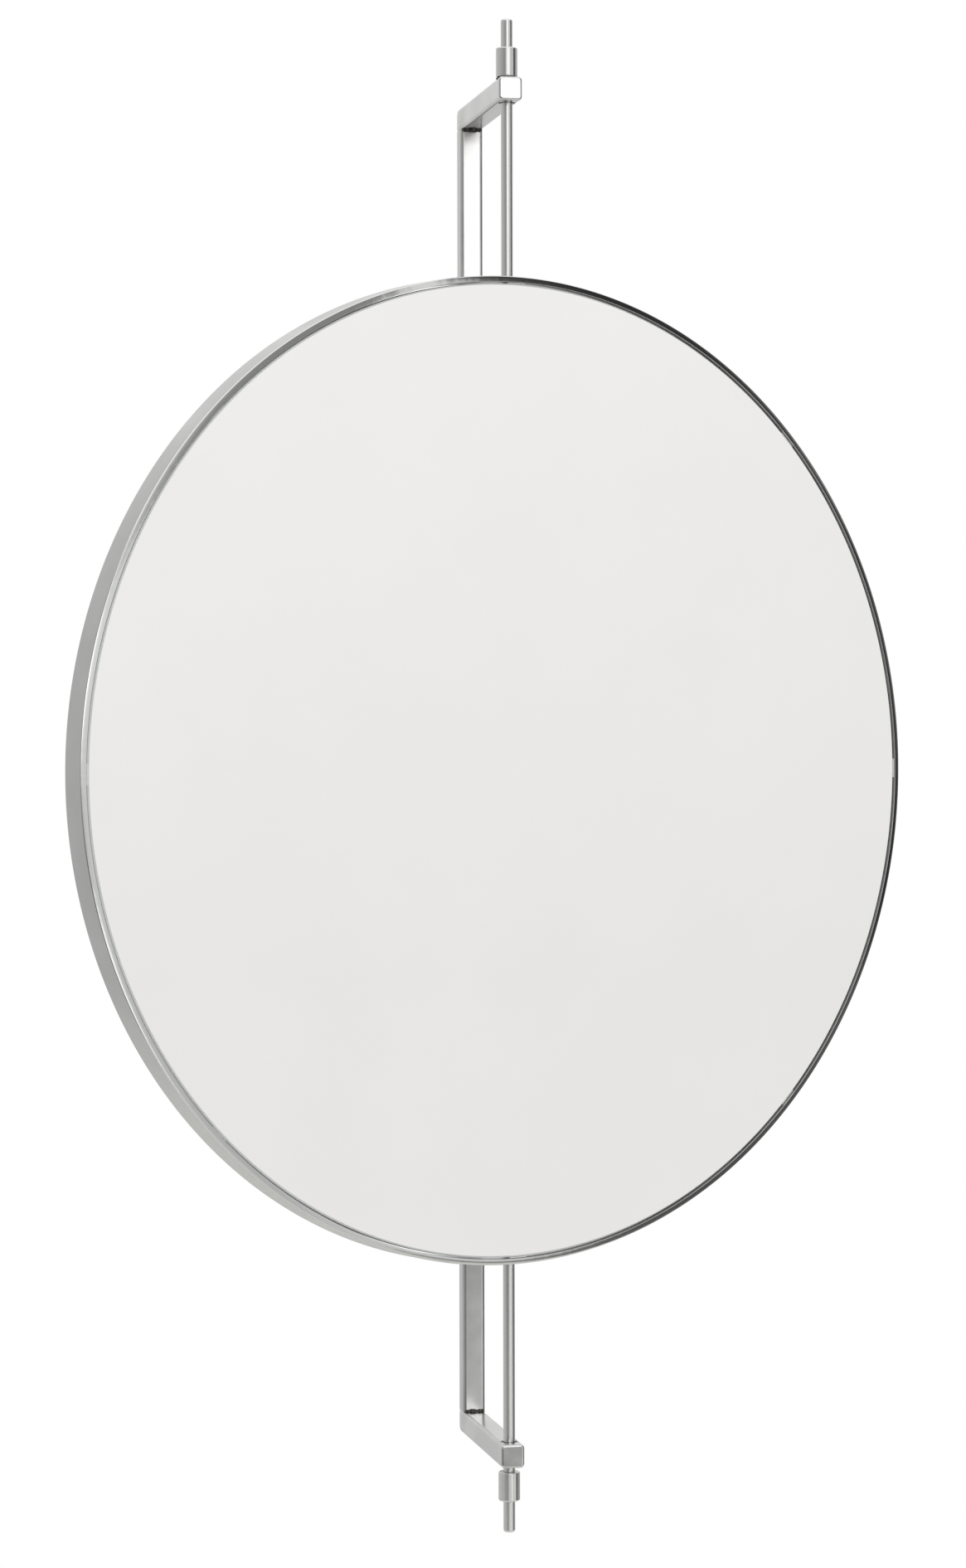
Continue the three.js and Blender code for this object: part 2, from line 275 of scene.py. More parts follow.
def pick_vertices(piece, mesh, test):
    """Selects the vertices whose place passes the test, and no others."""
    for vertex in mesh.verts:
        vertex.select_set(test(vertex.co))
    mesh.select_flush_mode()
    bmesh.update_edit_mesh(piece.data)


def pick_edges(piece, mesh, test):
    """Selects the edges whose two ends pass the test, and no others."""
    for edge in mesh.edges:
        edge.select_set(test(edge.verts[0].co, edge.verts[1].co))
    mesh.select_flush_mode()
    bmesh.update_edit_mesh(piece.data)


def both_at(axis, value):
    """A test of an edge: both of its ends lie at this value of x, y or z."""
    return lambda a, b: all(abs(getattr(end, axis) - value) < NEAR for end in (a, b))


def at_point(*point):
    """A test of a vertex: it lies at this point."""
    return lambda place: (place - Vector(point)).length < NEAR


def rounded_rims(piece, heights, radius, segments=5):
    """Rounds the rims of an upright turned piece at these heights."""
    tests = [both_at("z", height) for height in heights]
    with editing(piece, "EDGE") as mesh:
        pick_edges(piece, mesh, lambda a, b: any(test(a, b) for test in tests))
        bpy.ops.mesh.bevel(offset=radius, segments=segments, affect="EDGES")
    return piece


def upright_plane(name, middle, width, height):
    """A plane that faces along Y, about this middle."""
    return settled(started(bpy.ops.mesh.primitive_plane_add, name, size=1, location=middle,
                           rotation=(radians(90), 0, 0), scale=(width, height, 1)))


def closed_up(piece):
    """Merges the vertices that meet and turns the faces outwards."""
    with editing(piece):
        bpy.ops.mesh.select_all(action="SELECT")
        bpy.ops.mesh.remove_doubles(threshold=MERGED)
        bpy.ops.mesh.normals_make_consistent(inside=False)
    return piece


def thickened(strap, thickness):
    """Gives a folded strap its thickness, half to each side, and rounds its edges."""
    finished(strap, "SOLIDIFY", thickness=thickness, offset=0.0, use_even_offset=True)
    return finished(strap, "BEVEL", width=STRAP_EDGE, segments=3, limit_method="ANGLE",
                    angle_limit=radians(50))


def turned_sleeve(name, inner, outer, low, high, roundings, steps=64, crown=()):
    """A ring about the Z axis: a rectangle with rounded corners, spun once round.

    roundings are the radii at (inner, low), (outer, low), (outer, high) and (inner, high).
    crown lowers the high edge: pairs of (how far inside the outer wall, how far down), outer wall last.
    """
    middle = ((inner + outer) / 2, 0, (low + high) / 2)
    piece = upright_plane(name, middle, outer - inner, high - low)
    if crown:
        with editing(piece, "EDGE") as mesh:
            pick_edges(piece, mesh, both_at("z", high))
            bpy.ops.mesh.subdivide(number_cuts=len(crown) - 1)
        # Cuts come evenly spaced; each is moved to its place on the crown
        for cut_number, (inside, down) in enumerate(crown, 1):
            was = inner + (outer - inner) * cut_number / len(crown)
            with editing(piece) as mesh:
                pick_vertices(piece, mesh, at_point(was, 0, high))
                bpy.ops.transform.translate(value=(outer - inside - was, 0, -down))
    outer_high = high - (crown[-1][1] if crown else 0)
    corners = ((inner, low), (outer, low), (outer, outer_high), (inner, high))
    for (radius, height), rounding in zip(corners, roundings):
        if rounding == 0:
            continue
        with editing(piece) as mesh:
            pick_vertices(piece, mesh, at_point(radius, 0, height))
            bpy.ops.mesh.bevel(offset=rounding, segments=6, affect="VERTICES")
    with editing(piece) as mesh:
        bpy.ops.mesh.select_all(action="SELECT")
        bpy.ops.mesh.delete(type="ONLY_FACE")
        bpy.ops.mesh.select_all(action="SELECT")
        bpy.ops.mesh.spin(steps=steps, angle=2 * pi, center=(0, 0, 0), axis=(0, 0, 1))
    return closed_up(piece)


def unwrapped(piece, uv_of):
    """A UV map in metres; uv_of gives the place on it from a face and the place of one of its corners."""
    mesh = piece.data
    layer = mesh.uv_layers.new(name="wrap")
    for polygon in mesh.polygons:
        for corner in polygon.loop_indices:
            place = mesh.vertices[mesh.loops[corner].vertex_index].co
            layer.data[corner].uv = uv_of(polygon, place)
    return piece


def wrapped(piece):
    """A UV map on a piece still about the Z axis: U runs round it and V along it."""
    def uv_of(polygon, place):
        around = atan2(polygon.center.y, polygon.center.x)
        turn = atan2(place.y, place.x)
        turn += 2 * pi * round((around - turn) / (2 * pi))
        reach = hypot(place.x, place.y)
        return turn * reach, place.z + reach

    return unwrapped(piece, uv_of)


def barred(piece, along):
    """A UV map on a bar along Y or Z: V runs along it and U across each face."""
    grain_way = Vector((0, 0, 1)) if along == "Z" else Vector((0, 1, 0))

    def uv_of(polygon, place):
        across = grain_way.cross(polygon.normal)
        across = Vector((1, 0, 0)) if across.length < 0.5 else across.normalized()
        return place.dot(across), place.dot(polygon.normal.cross(across))

    return unwrapped(piece, uv_of)


# Where the rod stands, and how a piece modelled about the Z axis gets to its place
ROD_PLACE = Matrix.Translation((HINGE[0], HINGE[1], 0))
MIRROR_PLACE = ROD_PLACE @ Matrix.Rotation(MIRROR_TURN, 4, "Z")


def mirror_middle():
    """Height of the glass's middle."""
    return node_middle("mirror_glass").z


def face_place():
    """From a disc about the Z axis, front up, to the turned mirror about its own middle."""
    lift = Matrix.Translation((0, 0, mirror_middle()))
    return lift @ MIRROR_PLACE @ Matrix.Rotation(radians(90), 4, "X")


def glass_depth():
    """How far the glass's front stands before the rod's axis."""
    place = Vector(MOUNTS["glass_face"]["pos_m"])
    return (place - Vector(HINGE)).dot(Vector(GLASS_NORMAL))


def ring_front():
    """How far the ring's front edge stands before the rod's axis."""
    return glass_depth() + bpy.context.scene.mirror_sizes.glass_recess


def given(piece, material, body, slot, *nodes):
    """Gives the piece its finish and its body, and hides the frame nodes that it stands for; the slot is not
    used.
    """
    piece.data.materials.clear()
    piece.data.materials.append(material)
    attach(piece, body)
    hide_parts(*nodes)
    return piece


# ---- Materials ----

def feed(node, inputs):
    """Fills a node's inputs, given by name or in the order of those in use.

    An input is a value, a colour, a node's output, or a node, which stands for its first output in use.
    """
    if isinstance(inputs, dict):
        pairs = [(node.inputs[name], value) for name, value in inputs.items()]
    else:
        pairs = zip([socket for socket in node.inputs if socket.enabled], inputs)
    for socket, value in pairs:
        if isinstance(value, bpy.types.Node):
            value = next(output for output in value.outputs if output.enabled)
        if isinstance(value, bpy.types.NodeSocket):
            node.id_data.links.new(value, socket)
        else:
            socket.default_value = (*value, 1) if socket.type == "RGBA" else value


def add(tree, kind, inputs=(), **settings):
    """Adds a node with its settings and its inputs."""
    node = tree.nodes.new(f"ShaderNode{kind}")
    for name, value in settings.items():
        setattr(node, name, value)
    feed(node, inputs)
    return node


def with_stops(node, stops):
    """Sets the stops of a node's colour ramp; each is (place, grey or colour)."""
    elements = node.color_ramp.elements
    while len(elements) < len(stops):
        elements.new(1.0)
    for element, (place, value) in zip(elements, stops):
        element.position = place
        element.color = (*value, 1) if hasattr(value, "__len__") else (value, value, value, 1)
    return node


def begin(name, roughness, metallic, inputs=None):
    """A new material with its shader; returns the material, its tree and the shader."""
    material = bpy.data.materials.new(name)
    material.use_nodes = True
    tree = material.node_tree
    tree.nodes.clear()
    shader = add(tree, "BsdfPrincipled", {"Roughness": roughness, "Metallic": metallic, **(inputs or {})})
    add(tree, "OutputMaterial", {"Surface": shader})
    return material, tree, shader


def grain(tree, vector, across, along, detail=4.0):
    """Streaks: noise drawn out, with sizes in metres across and along; the vector's Z runs along."""
    scaled = add(tree, "VectorMath", (vector, (1 / across, 1 / across, 1 / along)), operation="MULTIPLY")
    return add(tree, "TexNoise", {"Vector": scaled, "Scale": 1.0, "Detail": detail, "Roughness": 0.6})


def clouds(tree, vector, size, detail=3.0, roughness=0.55):
    """Soft patches of about this size in metres."""
    return add(tree, "TexNoise",
               {"Vector": vector, "Scale": 1 / size, "Detail": detail, "Roughness": roughness})


def shaded(base, factor):
    """A colour made darker or lighter."""
    return tuple(min(1.0, channel * factor) for channel in base)


def clouded(tree, patches, cleared, base, dull, bright):
    """A worked metal's colour: patches from a duller to a brighter shade, full where they reach cleared."""
    share = add(tree, "MapRange", (patches, 0.35, cleared, 0.0, 1.0), interpolation_type="SMOOTHSTEP")
    return add(tree, "Mix", (share, shaded(base, dull), shaded(base, bright)), data_type="RGBA")


def streaked(tree, streaks, share, tone, streak):
    """The tone with up to this share of the streak's colour over it."""
    over = add(tree, "MapRange", (streaks, 0.0, 1.0, 0.0, share))
    return add(tree, "Mix", (over, tone, streak), data_type="RGBA")


def two_toned(tree, pattern, first, second):
    """A pattern's colour, between two sRGB hex colours."""
    return add(tree, "Mix", (pattern, linear(first), linear(second)), data_type="RGBA")


def uneven(tree, streaks, spread, patches, low, high):
    """A roughness that goes from low to high with the patches, and by spread with the streaks."""
    fine = add(tree, "MapRange", (streaks, 0.0, 1.0, *spread))
    coarse = add(tree, "MapRange", (patches, 0.3, 0.7, low, high))
    return add(tree, "Math", (fine, coarse), operation="ADD")


def bar_steel(name, along, welds, tint, satin):
    """Cold-drawn 304 stainless bar, linished along its length: a satin grain with soft cloudy patches.

    The real scratches are about 0.1 mm apart, and are drawn at 0.5 mm so that they show. Round each
    of these welds the bar is darkened to a dull brown-grey, which fades out tint millimetres away.
    """
    sizes = bpy.context.scene.bracket_sizes
    material, tree, shader = begin(name, 0.2, 1.0, {"Anisotropic": 0.6})
    place = add(tree, "TexCoord").outputs["Object"]
    turn = (0, 0, 0) if along == "Z" else (radians(90), 0, 0)
    turned = add(tree, "Mapping", {"Vector": place, "Rotation": turn})
    streaks = grain(tree, turned, 0.5 * MM, 60 * MM)
    patches = clouds(tree, turned, 22 * MM, 4.0)
    base = tuple(sizes.steel)
    tone = clouded(tree, patches, 0.68, base, 0.90, 1.05)
    tone = streaked(tree, streaks, 0.3, tone, shaded(base, 0.86))
    for weld in welds:
        away = add(tree, "VectorMath", (place, weld), operation="DISTANCE")
        ragged = add(tree, "MapRange", (patches, 0.0, 1.0, -6 * MM, 6 * MM))
        away = add(tree, "Math", (away, ragged), operation="ADD")
        share = add(tree, "MapRange", (away, 3 * MM, tint * MM, 0.5, 0.0), interpolation_type="SMOOTHSTEP")
        tone = add(tree, "Mix", (share, tone, linear("#96918B")), data_type="RGBA")
    feed(shader, {
        "Base Color": tone,
        "Roughness": uneven(tree, streaks, (-0.02, 0.04), patches, satin, satin + 0.07),
        "Normal": add(tree, "Bump", {"Height": streaks, "Distance": 0.004 * MM, "Strength": 0.4}),
        "Tangent": add(tree, "Tangent", direction_type="UV_MAP", uv_map="wrap"),
    })
    return material


def weld_metal():
    """MIG weld bead left as welded: dark oxide scale with rough ripples and a few bright beads."""
    material, tree, shader = begin("as_welded_stainless", 0.55, 0.85)
    scale = clouds(tree, add(tree, "TexCoord").outputs["Object"], 1.1 * MM, 5.0, 0.65)
    base = tuple(bpy.context.scene.bracket_sizes.weld)
    tones = ((0.3, shaded(base, 0.45)), (0.52, base), (0.60, linear("#77716B")), (0.69, linear("#D5D3D0")))
    feed(shader, {
        "Base Color": with_stops(add(tree, "ValToRGB", (scale,)), tones),
        "Roughness": add(tree, "MapRange", (scale, 0.3, 0.75, 0.7, 0.3)),
        "Normal": add(tree, "Bump", {"Height": scale, "Distance": 0.25 * MM, "Strength": 0.8}),
    })
    return material


def rod_steel():
    """Centreless-ground stainless rod: bright, with fine grinding rings that smear a highlight lengthwise.

    The rings are far finer, and are drawn about 0.4 mm apart so that they show.
    """
    material, tree, shader = begin("ground_stainless_rod", 0.2, 1.0,
                                   {"Anisotropic": 1.0, "Anisotropic Rotation": 0.25})
    place = add(tree, "TexCoord").outputs["Object"]
    stretch = (1 / (12.5 * MM), 1 / (12.5 * MM), 1 / (0.4 * MM))
    stretched = add(tree, "VectorMath", (place, stretch), operation="MULTIPLY")
    rings = add(tree, "TexNoise", {"Vector": stretched, "Scale": 1.0, "Detail": 3.0})
    base = tuple(bpy.context.scene.rod_sizes.steel)
    fine = add(tree, "MapRange", (rings, 0.0, 1.0, -0.015, 0.02))
    coarse = add(tree, "MapRange", (clouds(tree, place, 30 * MM), 0.0, 1.0, 0.18, 0.23))
    feed(shader, {
        "Base Color": streaked(tree, rings, 0.2, base, shaded(base, 0.88)),
        "Roughness": add(tree, "Math", (fine, coarse), operation="ADD"),
        "Normal": add(tree, "Bump", {"Height": rings, "Distance": 0.002 * MM, "Strength": 0.3}),
        "Tangent": add(tree, "Tangent", direction_type="RADIAL", axis="Z"),
    })
    return material


def in_mirror(tree):
    """Object coordinates about the mirror's own middle: X to the right, Z up, Y from front to back."""
    middle = Vector((HINGE[0], HINGE[1], mirror_middle()))
    return add(tree, "Mapping", {
        "Vector": add(tree, "TexCoord").outputs["Object"],
        "Location": Matrix.Rotation(-MIRROR_TURN, 4, "Z") @ -middle,
        "Rotation": (0, 0, -MIRROR_TURN),
    })


def ring_steel():
    """Rolled 304 flat bar: brushed round the rim, uneven where the rolls gripped it, front edge buffed.

    The brush lines are about 0.15 mm apart and are drawn at 0.6 mm. The rolls leave soft waves
    across the bar, some 14 mm apart, which show as light and dark bands.
    """
    sizes = bpy.context.scene.mirror_sizes
    material, tree, shader = begin("rolled_brushed_stainless", 0.3, 1.0,
                                   {"Anisotropic": 0.45, "Anisotropic Rotation": 0.25})
    place = in_mirror(tree)
    parts = add(tree, "SeparateXYZ", (place,))
    depth = parts.outputs["Y"]
    turn = add(tree, "Math", (parts.outputs["Z"], parts.outputs["X"]), operation="ARCTAN2")
    round_rim = add(tree, "Math", (turn, sizes.ring / 2), operation="MULTIPLY")
    flat = add(tree, "CombineXYZ", {"X": depth, "Z": round_rim})
    lines = grain(tree, flat, 0.6 * MM, 70 * MM)
    waves = grain(tree, flat, 90 * MM, 14 * MM, 2.0)
    patches = clouds(tree, place, 35 * MM, 4.0)
    base = tuple(sizes.steel)
    tone = clouded(tree, patches, 0.68, base, 0.9, 1.0)
    tone = streaked(tree, lines, 0.22, tone, shaded(base, 0.88))
    satin = uneven(tree, lines, (-0.04, 0.06), patches, 0.27, 0.37)
    buffed_ends = (0.75 * MM - ring_front(), 1.0 * MM - ring_front())
    buffed = add(tree, "MapRange", (depth, *buffed_ends, 1.0, 0.0), interpolation_type="SMOOTHSTEP")
    waves = add(tree, "Math", (waves, 0.97), operation="MULTIPLY")
    lines = add(tree, "Math", (lines, 0.03), operation="MULTIPLY")
    height = add(tree, "Math", (waves, lines), operation="ADD")
    feed(shader, {
        "Base Color": add(tree, "Mix", (buffed, tone, base), data_type="RGBA"),
        "Roughness": add(tree, "Mix", (buffed, satin, 0.11), data_type="FLOAT"),
        "Normal": add(tree, "Bump", {"Height": height, "Distance": 0.16 * MM, "Strength": 0.6}),
        "Tangent": add(tree, "Tangent", direction_type="UV_MAP", uv_map="wrap"),
    })
    return material


def sheet_steel():
    """Cold-rolled stainless sheet, 2B mill finish: an even dull grey, faint roll lines, handling marks."""
    material, tree, shader = begin("mill_finish_stainless_sheet", 0.42, 1.0, {"Anisotropic": 0.3})
    place = in_mirror(tree)
    rolled = grain(tree, place, 1.2 * MM, 160 * MM)
    marks = clouds(tree, place, 60 * MM, 5.0, 0.6)
    base = tuple(bpy.context.scene.mirror_sizes.sheet)
    tone = clouded(tree, marks, 0.7, base, 0.86, 1.0)
    feed(shader, {
        "Base Color": streaked(tree, rolled, 0.35, tone, shaded(base, 0.82)),
        "Roughness": uneven(tree, rolled, (-0.04, 0.05), marks, 0.36, 0.5),
        "Normal": add(tree, "Bump", {"Height": marks, "Distance": 0.5 * MM, "Strength": 0.15}),
    })
    return material


def silvered_glass():
    """Silvered 3 mm float glass: a clean reflection, slightly duller where it was wiped."""
    material, tree, shader = begin("silvered_float_glass", 0.02, 1.0)
    wiped = clouds(tree, in_mirror(tree), 90 * MM, 5.0, 0.6)
    feed(shader, {
        "Base Color": clouded(tree, wiped, 0.7, tuple(bpy.context.scene.mirror_sizes.silver), 0.985, 1.0),
        "Roughness": add(tree, "MapRange", (wiped, 0.3, 0.75, 0.015, 0.04)),
    })
    return material


def ground_glass():
    """The glass's ground arris: matt, with a faint painted glow that stands in for the light leaving its
    edge.
    """
    # Painted glow: a constant emission lights the arris, though it is no lamp
    material, tree, shader = begin("ground_glass_edge", 0.38, 0.0,
                                   {"Emission Strength": 0.14, "Emission Color": linear("#E6E8E6")})
    grit = clouds(tree, in_mirror(tree), 0.5 * MM, 2.0)
    feed(shader, {
        "Base Color": two_toned(tree, grit, "#C6CAC8", "#EDEFEE"),
        "Normal": add(tree, "Bump", {"Height": grit, "Distance": 0.02 * MM, "Strength": 0.5}),
    })
    return material


def black_acetal():
    """Turned black acetal: satin, with fine tool rings."""
    material, tree, shader = begin("turned_black_acetal", 0.42, 0.0)
    rings = grain(tree, add(tree, "TexCoord").outputs["Object"], 6 * MM, 0.25 * MM, 2.0)
    feed(shader, {
        "Base Color": two_toned(tree, rings, "#17171A", "#2B2B2E"),
        "Normal": add(tree, "Bump", {"Height": rings, "Distance": 0.01 * MM, "Strength": 0.5}),
    })
    return material


def black_oxide():
    """Black-oxide alloy steel screw: near black and dull, with small paler specks."""
    material, tree, shader = begin("black_oxide_screw", 0.5, 0.9)
    specks = clouds(tree, add(tree, "TexCoord").outputs["Object"], 0.6 * MM, 3.0)
    feed(shader, {
        "Base Color": two_toned(tree, specks, "#1D1D20", "#3A3A3E"),
        "Roughness": add(tree, "MapRange", (specks, 0.0, 1.0, 0.4, 0.6)),
    })
    return material


def silicone_pad():
    """Translucent silicone pad: milky, soft sheen."""
    material, tree, shader = begin("milky_silicone", 0.45, 0.0, {"IOR": 1.41})
    milky = clouds(tree, add(tree, "TexCoord").outputs["Object"], 2.5 * MM, 2.0)
    feed(shader, {
        "Base Color": two_toned(tree, milky, "#E2E2DE", "#F4F4F0"),
        "Normal": add(tree, "Bump", {"Height": milky, "Distance": 0.03 * MM, "Strength": 0.4}),
    })
    return material


def foam_tape():
    """White closed-cell foam tape: matt, with pores about 0.4 mm across."""
    material, tree, shader = begin("white_foam_tape", 0.9, 0.0)
    place = add(tree, "TexCoord").outputs["Object"]
    pores = add(tree, "TexVoronoi", {"Vector": place, "Scale": 1 / (0.4 * MM)})
    feed(shader, {
        "Base Color": two_toned(tree, pores, "#D6D3C9", "#F1EFE8"),
        "Normal": add(tree, "Bump", {"Height": pores, "Distance": 0.1 * MM, "Strength": 0.6}),
    })
    return material


# ---- Pieces ----

def weighted_bevel(piece, width, weight_of):
    """Rounds edges; weight_of gives an edge's share of the width from its two ends."""
    activate(piece)
    weights = piece.data.attributes.new("bevel_weight_edge", "FLOAT", "EDGE")
    for edge in piece.data.edges:
        ends = [piece.data.vertices[index].co for index in edge.vertices]
        weights.data[edge.index].value = weight_of(*ends)
    return finished(piece, "BEVEL", width=width, segments=5, limit_method="WEIGHT", profile=0.5)


class MIRROR_OT_bracket(bpy.types.Operator):
    """Models the upright and the two arms of square bar"""
    bl_idname = "wall_mirror.bracket"
    bl_label = "Bracket"

    def arm(self, sizes, end, side):
        """An arm with its outer corner ground round, its long edges rounded, and then its free end."""
        low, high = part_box(f"{end}_arm")
        arm = block(f"{end}_arm_bar", low, high)
        at_wall = both_at("y", high[1])
        at_outside = both_at("z", high[2] if side > 0 else low[2])
        at_free_end = both_at("y", low[1])
        with editing(arm, "EDGE") as mesh:
            pick_edges(arm, mesh, lambda a, b: at_wall(a, b) and at_outside(a, b))
            bpy.ops.mesh.bevel(offset=sizes.corner, segments=10, affect="EDGES")

        def weight_of(a, b):
            on_side = abs(a.x - b.x) < NEAR and abs(abs(a.x) - sizes.bar / 2) < NEAR
            return 1.0 if on_side and not at_free_end(a, b) else 0.0

        weighted_bevel(arm, sizes.bar_edge, weight_of)
        with editing(arm, "EDGE") as mesh:
            pick_edges(arm, mesh, at_free_end)
            bpy.ops.mesh.bevel(offset=sizes.arm_end, segments=5, affect="EDGES")
        bore = cylinder("bore", bush_hole_radius(), low[2] - MM, high[2] + MM)
        cut(arm, placed(bore, ROD_PLACE))
        return smoothed(barred(arm, "Y"))

    def execute(self, context):
        sizes = context.scene.bracket_sizes
        low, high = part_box("bracket_upright")
        upright = block("upright_bar", low, high)
        weighted_bevel(upright, sizes.bar_edge, lambda a, b: 1.0 if abs(a.z - b.z) > NEAR else 0.0)
        for side in (-1, 1):
            cut(upright, self.countersink(sizes, low, high, side))
        smoothed(barred(upright, "Z"))
        welds = [node_middle("top_weld"), node_middle("bottom_weld")]
        # The upright is tinted at the top weld alone, and is a little duller than the arms
        steel = bar_steel("satin_stainless_upright", "Z", welds[:1], 9, 0.18)
        given(upright, steel, "bracket", "bracket_steel", "bracket_upright")
        steel = bar_steel("satin_stainless_arm", "Y", welds, 16, 0.13)
        for end, side in (("top", 1), ("bottom", -1)):
            given(self.arm(sizes, end, side), steel, "bracket", "bracket_steel", f"{end}_arm")
        return {"FINISHED"}

    def countersink(self, sizes, low, high, side):
        """The cutter of one countersunk hole, its axis along Y."""
        hole = sizes.fixing_hole / 2
        sink = sizes.fixing_sink / 2
        depth = high[1] - low[1]
        cutter = cylinder("countersink", hole, -depth, MM)
        with editing(cutter, "FACE") as mesh:
            for face in mesh.faces:
                face.select_set(face.normal.z > 0.9)
            bmesh.update_edit_mesh(cutter.data)
            bpy.ops.mesh.delete(type="FACE")
        with editing(cutter, "EDGE") as mesh:
            pick_edges(cutter, mesh, lambda a, b: a.z > 0 and b.z > 0)
            bpy.ops.transform.translate(value=(0, 0, -(sink - hole) - MM))
            bpy.ops.mesh.extrude_region_move(TRANSFORM_OT_translate={"value": (0, 0, sink - hole)})
            bpy.ops.transform.resize(value=(sink / hole, sink / hole, 1), center_override=(0, 0, 0))
            bpy.ops.mesh.extrude_region_move(TRANSFORM_OT_translate={"value": (0, 0, MM)})
            bpy.ops.mesh.edge_face_add()
        front = Matrix.Translation((0, low[1], side * sizes.fixing_spacing / 2))
        return placed(cutter, front @ Matrix.Rotation(radians(90), 4, "X"))


def bush_hole_radius():
    """Radius of the hole that a bush sits in, with a little room round it."""
    return node_size("top_bush", 0) / 2 + 0.05 * MM


class MIRROR_OT_welds(bpy.types.Operator):
    """Lays the two weld beads in the bracket's inner corners"""
    bl_idname = "wall_mirror.welds"
    bl_label = "Weld beads"

    def execute(self, context):
        sizes = context.scene.bracket_sizes
        steel = weld_metal()
        chance = random.Random(7)
        width = sizes.bar - 2 * sizes.weld_height
        pitch = width / (sizes.weld_runs - 1)
        for end, side in (("top", 1), ("bottom", -1)):
            low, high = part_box(f"{end}_weld")
            corner = Vector((0, high[1], high[2] if side > 0 else low[2]))
            ripples = []
            for run in range(sizes.weld_runs):
                radius = sizes.weld_height * chance.uniform(0.82, 1.08)
                out, up = [chance.uniform(-0.2, 0.2) * MM for way in "YZ"]
                place = corner + Vector((-width / 2 + run * pitch, out, up))
                ripples.append(started(bpy.ops.mesh.primitive_ico_sphere_add, "ripple", subdivisions=3,
                                       radius=radius, location=place, scale=(0.8, 1.0, 0.85)))
            bpy.ops.object.select_all(action="DESELECT")
            for ripple in ripples:
                ripple.select_set(True)
            bpy.context.view_layer.objects.active = ripples[0]
            bpy.ops.object.join()
            bead = named(settled(ripples[0]), f"{end}_weld_bead")
            finished(bead, "REMESH", mode="VOXEL", voxel_size=0.22 * MM)
            finished(bead, "SMOOTH", iterations=3)
            smoothed(bead, 60)
            given(bead, steel, "bracket", "weld_metal", f"{end}_weld")
        return {"FINISHED"}


class MIRROR_OT_bearings(bpy.types.Operator):
    """Turns the two bushes and the thrust washer"""
    bl_idname = "wall_mirror.bearings"
    bl_label = "Bearings"

    def execute(self, context):
        sizes = context.scene.rod_sizes
        plastic = black_acetal()
        bore = sizes.rod / 2 + sizes.running
        edge = 0.15 * MM
        for node in ("top_bush", "bottom_bush", "thrust_washer"):
            low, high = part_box(node)
            radius = node_size(node, 0) / 2
            sleeve = turned_sleeve(f"{node}_turned", bore, radius, low[2], high[2], (edge,) * 4)
            given(smoothed(placed(sleeve, ROD_PLACE)), plastic, "bracket", "bearing_plastic", node)
        return {"FINISHED"}


class MIRROR_OT_rod(bpy.types.Operator):
    """Models the swivel rod"""
    bl_idname = "wall_mirror.rod"
    bl_label = "Swivel rod"

    def execute(self, context):
        sizes = context.scene.rod_sizes
        low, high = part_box("swivel_rod")
        rod = cylinder("ground_rod", sizes.rod / 2, low[2], high[2], 64)
        rounded_rims(rod, (low[2], high[2]), sizes.rod_tip)
        given(smoothed(placed(rod, MIRROR_PLACE)), rod_steel(), "mirror", "rod_steel", "swivel_rod")
        return {"FINISHED"}


class MIRROR_OT_collars(bpy.types.Operator):
    """Turns the two collars and their grub screws"""
    bl_idname = "wall_mirror.collars"
    bl_label = "Collars"

    def execute(self, context):
        sizes = context.scene.rod_sizes
        steel = rod_steel()
        oxide = black_oxide()
        for end in ("top", "bottom"):
            low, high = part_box(f"{end}_collar")
            edge = sizes.collar_edge
            bore = sizes.rod / 2 + 0.1 * MM
            collar = turned_sleeve(f"{end}_turned_collar", bore, sizes.collar / 2, low[2], high[2],
                                   (0.2 * MM, edge, edge, 0.2 * MM))
            middle = (low[2] + high[2]) / 2
            towards_back = Matrix.Translation((0, 0, middle)) @ Matrix.Rotation(radians(-90), 4, "X")
            hole = cylinder("grub_hole", sizes.grub / 2 + 0.1 * MM, sizes.rod / 4, sizes.collar)
            cut(collar, placed(hole, towards_back))
            given(smoothed(placed(collar, MIRROR_PLACE)), steel, "mirror", "rod_steel", f"{end}_collar")
            base = sizes.rod / 2 + SEAT
            top = base + sizes.grub_length
            grub = cylinder(f"{end}_socket_screw", sizes.grub / 2, base, top, 32)
            rounded_rims(grub, (base, top), 0.2 * MM, 2)
            across_corners = sizes.grub_socket / cos(radians(30))
            socket = cylinder("socket", across_corners / 2, top - sizes.socket_depth, top + MM, 6)
            cut(grub, socket)
            placed(grub, MIRROR_PLACE @ towards_back)
            given(smoothed(grub), oxide, "mirror", "screw_steel", f"{end}_grub_screw")
        return {"FINISHED"}


# How the ring's front edge falls away outwards: each slope's end, as a share of the wall in from the
# outside, and its degrees
CROWN = ((0.6, 10), (0.25, 14), (0.0, 16))


